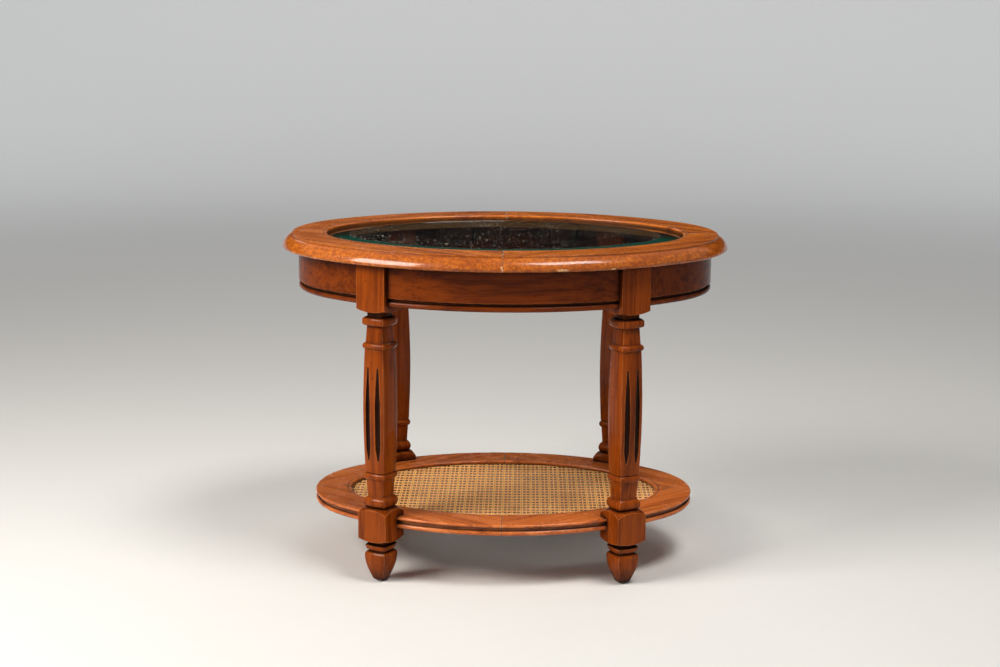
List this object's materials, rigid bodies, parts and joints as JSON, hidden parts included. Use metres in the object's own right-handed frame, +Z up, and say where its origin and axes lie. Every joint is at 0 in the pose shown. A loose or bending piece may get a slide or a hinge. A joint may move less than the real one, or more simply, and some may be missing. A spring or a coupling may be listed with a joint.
{
  "type": "oval side table",
  "caption": "Oval wooden side table with a drop-in glass top, four square-turned fluted legs and a lower oval shelf of woven cane.",
  "frame": {"origin": "on the floor, under the middle of the top", "axes": "+X along the table's length, +Y towards its rear, +Z up"},
  "size_m": [0.74, 0.56, 0.5485],
  "materials": {
    "top_wood": "gloss lacquer over an orange-brown stain",
    "apron_wood": "satin lacquer over an orange-brown stain",
    "leg_wood": "satin lacquer over an orange-brown stain",
    "shelf_wood": "satin lacquer over an orange-brown stain",
    "raw_wood": "bare wood",
    "cane": "natural woven cane",
    "glass": "clear float glass with a green edge",
    "clear_pads": "clear soft dots",
    "steel": "dull steel"
  },
  "bodies": {
    "frame": {"top_segment_front_left": "top_wood", "top_segment_front_right": "top_wood", "top_segment_rear_left": "top_wood", "top_segment_rear_right": "top_wood", "top_joint_dowels": "raw_wood", "glass_pads": "clear_pads", "apron_front": "apron_wood", "apron_rear": "apron_wood", "apron_left": "apron_wood", "apron_right": "apron_wood", "apron_dowels": "raw_wood", "leg_front_left": "leg_wood", "leg_front_right": "leg_wood", "leg_rear_left": "leg_wood", "leg_rear_right": "leg_wood", "fixing_blocks_front": "raw_wood", "fixing_blocks_rear": "raw_wood", "fixing_block_left": "raw_wood", "fixing_block_right": "raw_wood", "top_screws": "steel", "shelf_segment_front_left": "shelf_wood", "shelf_segment_front_right": "shelf_wood", "shelf_segment_rear_left": "shelf_wood", "shelf_segment_rear_right": "shelf_wood", "shelf_joint_dowels": "raw_wood", "shelf_leg_dowels": "raw_wood", "cane_panel": "cane", "cane_strip_front_left": "raw_wood", "cane_strip_front_right": "raw_wood", "cane_strip_rear_left": "raw_wood", "cane_strip_rear_right": "raw_wood", "cane_brads": "steel", "foot_glides": "steel"},
    "glass": {"glass_panel": "glass"}
  },
  "joints": [
    {"name": "glass_lift", "type": "slide", "parent": "frame", "child": "glass", "axis": [0, 0, 1], "range_m": [0, 0.06]}
  ]
}
